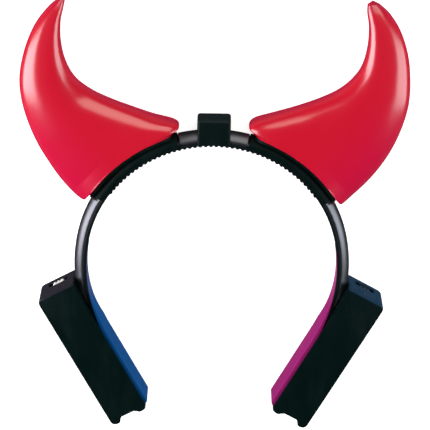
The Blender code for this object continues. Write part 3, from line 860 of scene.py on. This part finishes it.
# Temple strips on the inner face of the band and case

templeStrip = {
    "start": 82.0, "grows": 90.0, "fullBefore": 6.0,
    "thin": 0.2, "thick": 1.5, "narrow": 7.6, "wide": 16.0, "below": 1.2,  # below: under the case's front
    "round": 0.45, "roundSteps": 5, "stations": 80,
    "fade": 1.5, "endThin": 0.6, "endNarrow": 0.8,  # rounded ends: their length, and what they lose
}


def makeTempleStrip(sideName, side, material):
    size = templeStrip
    end = arcLength + batteryCase["length"] - batteryCase["rise"] - batteryCase["corner"]
    full = arcLength - size["fullBefore"]
    rings = []
    stations = spread(size["start"], end, size["stations"])
    for s in stations:
        share = min(1.0, max(0.0, (s - size["grows"]) / (full - size["grows"]))) ** 2
        thick = size["thin"] + (size["thick"] - size["thin"]) * share
        half = (size["narrow"] + (size["wide"] - size["narrow"]) * share) / 2
        fade = min(1.0, (s - size["start"]) / size["fade"], (end - s) / size["fade"])
        trim = 1.0 - math.sqrt(max(0.0, 1.0 - (1.0 - fade) ** 2))
        thick *= 1.0 - size["endThin"] * trim
        half -= size["endNarrow"] * trim
        radius = min(size["round"], thick * 0.8)
        top = half - size["below"] * share
        ring = [(0.0, top), (0.0, -half)]
        turns = [math.radians(t) for t in spread(0.0, 90.0, size["roundSteps"])]
        for t in turns:
            ring.append((-thick + radius * (1 - math.sin(t)), -half + radius * (1 - math.cos(t))))
        for t in reversed(turns):
            ring.append((-thick + radius * (1 - math.sin(t)), top - radius * (1 - math.cos(t))))
        rings.append([bandPoint(side * s, offset, z) for offset, z in ring])
    bm = bmesh.new()
    skinRings(bm, rings)
    strip = finishMesh(sideName + "_temple_strip", bm, material, 40)
    place(strip, "band", "blue pad" if sideName == "left" else "magenta pad", sideName + "_temple_pad")
    return strip


# Horns: smooth shells through the same sections as the solids

hornShell = {
    "baseFrom": 17.0, "baseTo": 60.5, "wall": 1.4, "ring": 96, "steps": 8, "hollowRows": 8, "rimRound": 0.5,
    "roundPower": 4.4, "squareLeast": 2.4, "squarePower": 4.0, "squareFade": 0.8,
    "halfDepth": 8.4, "tip": {"left": (68.3, 126.0), "right": (69.2, 126.0)},
}
hornSections = {  # concave x, concave y, convex x, convex y, half depth, sagitta, power of the concave side
    "left": (
        (17.8, 63.9, 58.0, 30.8, 8.4, 4.9, 4.4),
        (15.8, 65.7, 59.8, 29.9, 8.4, 5.2, 4.4),
        (18.2, 68.0, 64.4, 33.4, 8.4, 5.0, 3.8),
        (26.7, 70.5, 70.1, 40.2, 8.4, 4.2, 2.9),
        (36.5, 74.1, 75.2, 47.9, 8.4, 3.2, 2.3),
        (46.4, 77.9, 80.2, 56.8, 8.4, 2.2, 2.0),
        (55.3, 82.2, 84.3, 67.0, 8.2, 1.2, 1.9),
        (62.5, 87.6, 87.0, 77.4, 7.8, 0.5, 2.4),
        (66.9, 95.2, 87.7, 88.2, 7.2, 0.0, 2.8),
        (69.0, 104.5, 85.3, 100.6, 6.2, 0.0, 3.2),
        (69.0, 113.6, 80.8, 111.8, 4.9, 0.0, 3.2),
        (67.7, 120.0, 75.1, 119.8, 3.6, 0.0, 3.0),
        (66.9, 124.0, 70.2, 124.4, 2.2, 0.0, 2.6),
    ),
    "right": (
        (17.6, 64.2, 57.8, 30.7, 8.4, 4.9, 4.4),
        (15.8, 66.2, 59.2, 29.7, 8.4, 5.2, 4.4),
        (18.2, 69.2, 63.3, 33.2, 8.4, 5.0, 3.9),
        (26.7, 72.1, 70.0, 40.2, 8.4, 4.2, 3.2),
        (36.5, 75.4, 75.9, 47.9, 8.4, 3.2, 2.7),
        (46.4, 79.1, 81.0, 56.8, 8.4, 2.2, 2.7),
        (55.0, 83.4, 85.0, 67.0, 8.2, 1.2, 2.7),
        (61.3, 88.7, 87.4, 77.4, 7.8, 0.5, 2.8),
        (65.7, 95.4, 87.7, 88.2, 7.2, 0.0, 3.0),
        (67.8, 104.5, 86.2, 100.6, 6.2, 0.0, 3.2),
        (68.0, 113.6, 82.4, 111.8, 4.9, 0.0, 3.2),
        (67.0, 120.0, 77.3, 119.8, 3.6, 0.0, 3.0),
        (66.9, 124.0, 72.4, 124.4, 2.2, 0.0, 2.6),
    ),
}
saddleSleeve = {
    "from": 15.4, "endY": 8.6, "endSlant": 0.3, "hem": 1.3, "wall": 1.4, "cheekWall": 0.8,
    "domeSteps": 12, "stations": 90,
    "flangeThick": 1.1, "flangeInset": 1.0, "flangeMin": 0.05, "flangeTaper": 0.5,
    "rimSeat": 7.1, "flangeRise": 1.5,
}
sleeveInner = channelFoot + wireMoulding["seat"] + bandLine["gap"]
sleeveOuter = sleeveInner + saddleSleeve["wall"]
baseRadius = bandLine["arcs"][0][0] + saddleSleeve["rimSeat"] + bandLine["gap"]


def ringShares(squareOuter, roundInner):
    shares = []
    count = hornShell["ring"]
    for i in range(count):
        angle = 2 * math.pi * i / count
        power = 2.0 / (squareOuter if math.cos(angle) > 0 else roundInner)
        across = math.copysign(abs(math.cos(angle)) ** power, math.cos(angle))
        deep = math.copysign(abs(math.sin(angle)) ** power, math.sin(angle))
        shares.append((across, deep))
    return shares


def hornBaseRing(side, inset, lift=0.0):
    trim = math.degrees(inset / baseRadius)
    start = math.radians(hornShell["baseFrom"] + trim)
    end = math.radians(hornShell["baseTo"] - trim)
    half = hornShell["halfDepth"] - inset
    ring = []
    for across, deep in ringShares(hornShell["squarePower"], hornShell["roundPower"]):
        angle = start + (end - start) * (1.0 + across) / 2
        ring.append(crownPoint(baseRadius + lift, side * angle, deep * half))
    return ring


def hornRing(side, row, inset, squareOuter):
    concave = Vector((row[0], row[1] + bandLine["crownY"]))
    convex = Vector((row[2], row[3] + bandLine["crownY"]))
    chord = (convex - concave).normalized()
    outward = Vector((-chord.y, chord.x))
    concave = concave + chord * inset
    convex = convex - chord * inset
    ring = []
    for across, deep in ringShares(squareOuter, row[6]):
        spot = concave.lerp(convex, (1.0 + across) / 2) + outward * row[5] * (1.0 - across * across)
        ring.append(Vector((side * spot.x, spot.y, bandLine["middleZ"] + deep * (row[4] - inset))))
    return ring


def hornRows(table):
    rows, steps = [], hornShell["steps"]
    for i in range(len(table) - 1):
        before, here = table[max(0, i - 1)], table[i]
        after, beyond = table[i + 1], table[min(len(table) - 1, i + 2)]
        for step in range(steps):
            t = step / steps
            rows.append([0.5 * (2 * b + (c - a) * t + (2 * a - 5 * b + 4 * c - d) * t * t
                                + (3 * b - a - 3 * c + d) * t ** 3)
                         for a, b, c, d in zip(before, here, after, beyond)])
    rows.append(list(table[-1]))
    return rows


def makeHorn(sideName, side):
    shell = hornShell
    rows = hornRows(hornSections[sideName])
    squares = [max(shell["squareLeast"], shell["squarePower"] - shell["squareFade"] * i / shell["steps"])
               for i in range(len(rows))]
    bend = shell["rimRound"]
    outer = []
    for t in spread(0.0, 90.0, 4):  # rounded rim on the saddle
        angle = math.radians(t)
        outer.append(hornBaseRing(side, bend * (1 - math.sin(angle)), bend * (1 - math.cos(angle))))
    outer += [hornRing(side, row, 0.0, square) for row, square in zip(rows[2:], squares[2:])]
    hollow = shell["hollowRows"] * shell["steps"]
    inner = [hornBaseRing(side, shell["wall"])]
    inner += [hornRing(side, row, shell["wall"], square) for row, square in zip(rows[:hollow], squares)]
    bm = bmesh.new()
    outside = skinRings(bm, outer, capEnds=False)
    inside = skinRings(bm, inner, capEnds=False)
    count = shell["ring"]
    for i in range(count):
        j = (i + 1) % count
        bm.faces.new((outside[0][i], inside[0][i], inside[0][j], outside[0][j]))
    tipX, tipY = shell["tip"][sideName]
    tip = bm.verts.new((side * tipX, tipY + bandLine["crownY"], bandLine["middleZ"]))
    for i in range(count):
        bm.faces.new((outside[-1][i], outside[-1][(i + 1) % count], tip))
    bm.faces.new(inside[-1])
    horn = finishMesh(sideName + "_horn_shell", bm, hornRed, 50)
    place(horn, "band", "red horn plastic", sideName + "_horn")
    return horn


def rimHalfDepth(angle):
    shell = hornShell
    middle = math.radians(shell["baseFrom"] + shell["baseTo"]) / 2
    reach = math.radians(shell["baseTo"] - shell["baseFrom"]) / 2
    across = (angle - middle) / reach
    if abs(across) >= 1.0:
        return 0.0
    square = shell["squarePower"] if across > 0 else shell["roundPower"]
    return shell["halfDepth"] * (1.0 - abs(across) ** square) ** (1.0 / square)


def saddleSection(flange):
    size = saddleSleeve
    shoulder = bandStrip["thick"] + 2 * bandLine["gap"]
    cheekIn = bandStrip["depth"] / 2 + bandLine["gap"]
    cheekOut = cheekIn + size["cheekWall"]
    under = size["rimSeat"] - size["flangeThick"]
    top = sleeveOuter + (size["rimSeat"] - sleeveOuter) * min(1.0, max(0.0, flange / size["flangeRise"]))
    root = math.asin((under - shoulder) / (sleeveOuter - shoulder))
    outside = [(size["hem"], cheekOut)]
    for angle in spread(0.0, root, size["domeSteps"]):
        outside.append((shoulder + (sleeveOuter - shoulder) * math.sin(angle), cheekOut * math.cos(angle)))
    edge = cheekOut * math.cos(root)
    outside.append((under, max(edge + size["flangeMin"], flange)))
    outside.append((top, max(edge * size["flangeTaper"], flange)))
    outside += [(offset, -z) for offset, z in reversed(outside)]
    inside = [(size["hem"], -cheekIn)]
    for angle in spread(0.0, math.pi, 2 * size["domeSteps"]):
        inside.append((shoulder + (sleeveInner - shoulder) * math.sin(angle), -cheekIn * math.cos(angle)))
    inside.append((size["hem"], cheekIn))
    return outside + inside


def makeSaddle(sideName, side):
    size = saddleSleeve
    crownRadius = bandLine["arcs"][0][0]
    start = math.radians(size["from"])
    finish = saddleEndAngle(size["hem"])
    rings = []
    for share in spread(0.0, 1.0, size["stations"]):
        flange = rimHalfDepth(start + (finish - start) * share) - size["flangeInset"]
        ring = []
        for offset, z in saddleSection(flange):
            angle = start + (saddleEndAngle(offset) - start) * share
            ring.append(crownPoint(crownRadius + offset, side * angle, z))
        rings.append(ring)
    bm = bmesh.new()
    skinRings(bm, rings)
    saddle = finishMesh(sideName + "_saddle", bm, saddleBlack, 35)
    place(saddle, "band", "matte black plastic", sideName + "_horn_saddle")
    return saddle


# Centre block astride the band

centreBlock = {
    "width": 15.2, "depth": 10.8, "bottom": 58.1, "top": 70.3, "edge": 1.2, "steps": 6,
    "cutReach": 12.0, "cutBelow": 6.0, "cutSteps": 24, "lip": 0.12,
}


def makeBlock():
    size = centreBlock
    halfX, halfZ = size["width"] / 2, size["depth"] / 2
    low, high = bandLine["crownY"] + size["bottom"], bandLine["crownY"] + size["top"]
    bm = bmesh.new()
    corners = ((-halfX, -halfZ), (halfX, -halfZ), (halfX, halfZ), (-halfX, halfZ))
    skinRings(bm, [[Vector((x, y, bandLine["middleZ"] + z)) for x, z in corners] for y in (low, high)])
    edges = [edge for edge in bm.edges if max(vert.co.y for vert in edge.verts) > low + 1.0]
    bmesh.ops.bevel(bm, geom=edges, offset=size["edge"], segments=size["steps"], profile=0.5, affect="EDGES")
    block = finishMesh("centre_cover", bm, coverBlack, 30)
    half = bandStrip["depth"] / 2 + bandLine["gap"]
    inner = bandLine["arcs"][0][0] - size["cutBelow"]
    outer = bandLine["arcs"][0][0] + channelFoot + wireMoulding["crown"] + bandLine["gap"]
    reach = math.radians(size["cutReach"])
    cutter = bmesh.new()
    section = ((inner, half), (outer, half), (outer, -half), (inner, -half))
    skinRings(cutter, [[crownPoint(radius, angle, z) for radius, z in section]
                       for angle in spread(-reach, reach, size["cutSteps"])])
    carve(block, finishMesh("block_room", cutter, None))
    addBevel(block, size["lip"], 2, 40)
    bakeModifiers(block)
    place(block, "band", "matte black plastic", "centre_block")
    return block


makeBandStrip()
makeComb()
makeWireMoulding()
makeBlock()
print("stage 3: band, comb, wire moulding and centre cover made")
for sideName, side in (("left", -1), ("right", 1)):
    makeBatteryCase(sideName, side)
    makeSlider(sideName, side, knobWhite if sideName == "left" else knobGrey)
    makeTempleStrip(sideName, side, padBlue if sideName == "left" else padMagenta)
    makeSaddle(sideName, side)
    makeHorn(sideName, side)
print("stage 4: cases, sliders, temple strips, saddles and horns made")


# Floor, light and camera

studio = {
    "floorHalf": 3.0, "floorColour": (0.90, 0.90, 0.90), "floorGlow": 0.78, "floorRough": 0.9,
    "worldLight": 0.03,
}


def makeFloor():
    half = studio["floorHalf"]
    mesh = bpy.data.meshes.new("floor")
    corners = [(-half, -half, 0), (half, -half, 0), (half, half, 0), (-half, half, 0)]
    mesh.from_pydata(corners, [], [(0, 1, 2, 3)])
    floor = linkMesh("floor", mesh)
    material = bpy.data.materials.new("white paper sweep")
    material.use_nodes = True
    tree = material.node_tree
    shader = tree.nodes["Principled BSDF"]
    noise = addNode(tree, "ShaderNodeTexNoise")
    noise.inputs["Scale"].default_value = 900.0
    coords = addNode(tree, "ShaderNodeTexCoord")
    tree.links.new(coords.outputs["Object"], noise.inputs["Vector"])
    bump = addNode(tree, "ShaderNodeBump")
    bump.inputs["Strength"].default_value = 0.05
    bump.inputs["Distance"].default_value = 0.0001
    tree.links.new(noise.outputs["Fac"], bump.inputs["Height"])
    tree.links.new(bump.outputs["Normal"], shader.inputs["Normal"])
    shader.inputs["Base Color"].default_value = (*studio["floorColour"], 1.0)
    shader.inputs["Roughness"].default_value = studio["floorRough"]
    shader.inputs["Emission Color"].default_value = (1.0, 1.0, 1.0, 1.0)
    shader.inputs["Emission Strength"].default_value = studio["floorGlow"]
    mesh.materials.append(material)
    floor.visible_glossy = False  # the photo is cut out, so its glossy edges mirror no floor


softBoxes = (  # name, place, target, width, height, power, colour
    ("left box", (-0.64, -0.04, 0.42), (0.0, 0.02, 0.0), 0.42, 0.80, 7.9, (1.0, 0.97, 1.0)),
    ("right box", (0.66, -0.04, 0.38), (0.0, 0.02, 0.0), 0.42, 0.74, 4.1, (0.94, 0.98, 1.0)),
    ("warm box", (0.15, 0.74, 0.88), (0.0, 0.02, 0.0), 0.80, 0.80, 5.4, (1.0, 0.92, 0.82)),
)


def makeLights():
    for name, spot, target, width, height, power, colour in softBoxes:
        data = bpy.data.lights.new(name, "AREA")
        data.shape = "RECTANGLE"
        data.size, data.size_y = width, height
        data.energy = power
        data.color = colour
        lamp = bpy.data.objects.new(name, data)
        lamp.location = spot
        lamp.rotation_mode = "QUATERNION"
        lamp.rotation_quaternion = (Vector(target) - Vector(spot)).to_track_quat("-Z", "Y")
        bpy.context.scene.collection.objects.link(lamp)
    world = bpy.data.worlds.new("pale room")
    bpy.context.scene.world = world
    world.use_nodes = True
    tree = world.node_tree
    back = tree.nodes["Background"]
    path = addNode(tree, "ShaderNodeLightPath")
    shade = addNode(tree, "ShaderNodeMapRange")
    shade.inputs["To Min"].default_value = studio["worldLight"]
    shade.inputs["To Max"].default_value = 1.0
    tree.links.new(path.outputs["Is Camera Ray"], shade.inputs["Value"])
    tree.links.new(shade.outputs["Result"], back.inputs["Strength"])
    back.inputs["Color"].default_value = (1.0, 1.0, 1.0, 1.0)


cameraSetup = {
    "target": (0.0, 0.0002, 0.00845),   # this point of the band is seen at pixel 212, 215 of 430
    "targetPixel": (212.0, 215.0),
    "elevation": 21.9,                  # lean from straight above towards the horn tips
    "distance": 0.9954,
    "millimetresPerPixel": 0.46,
    "roll": 1.0,
    "imageSize": 430,
}


def makeCamera():
    setup = cameraSetup
    lean, roll = math.radians(setup["elevation"]), math.radians(setup["roll"])
    back = Vector((0.0, math.sin(lean), math.cos(lean)))
    right = Vector((1.0, 0.0, 0.0))
    up = Vector((0.0, math.cos(lean), -math.sin(lean)))
    turnedRight = right * math.cos(roll) + up * math.sin(roll)
    turnedUp = up * math.cos(roll) - right * math.sin(roll)
    data = bpy.data.cameras.new("catalogue camera")
    viewWidth = setup["imageSize"] * setup["millimetresPerPixel"] * toMetres
    data.sensor_width = 36.0
    data.lens = 36.0 * setup["distance"] / viewWidth
    middle = (setup["imageSize"] - 1) / 2
    data.shift_x = (middle - setup["targetPixel"][0]) / setup["imageSize"]
    data.shift_y = (setup["targetPixel"][1] - middle) / setup["imageSize"]
    camera = bpy.data.objects.new("catalogue camera", data)
    camera.location = Vector(setup["target"]) + back * setup["distance"]
    camera.rotation_mode = "QUATERNION"
    camera.rotation_quaternion = Matrix((turnedRight, turnedUp, back)).transposed().to_quaternion()
    bpy.context.scene.collection.objects.link(camera)
    bpy.context.scene.camera = camera


makeFloor()
makeLights()
makeCamera()
bpy.context.scene.view_settings.view_transform = "Standard"
print("stage 5: floor, lights and camera set")

bpy.context.view_layer.update()
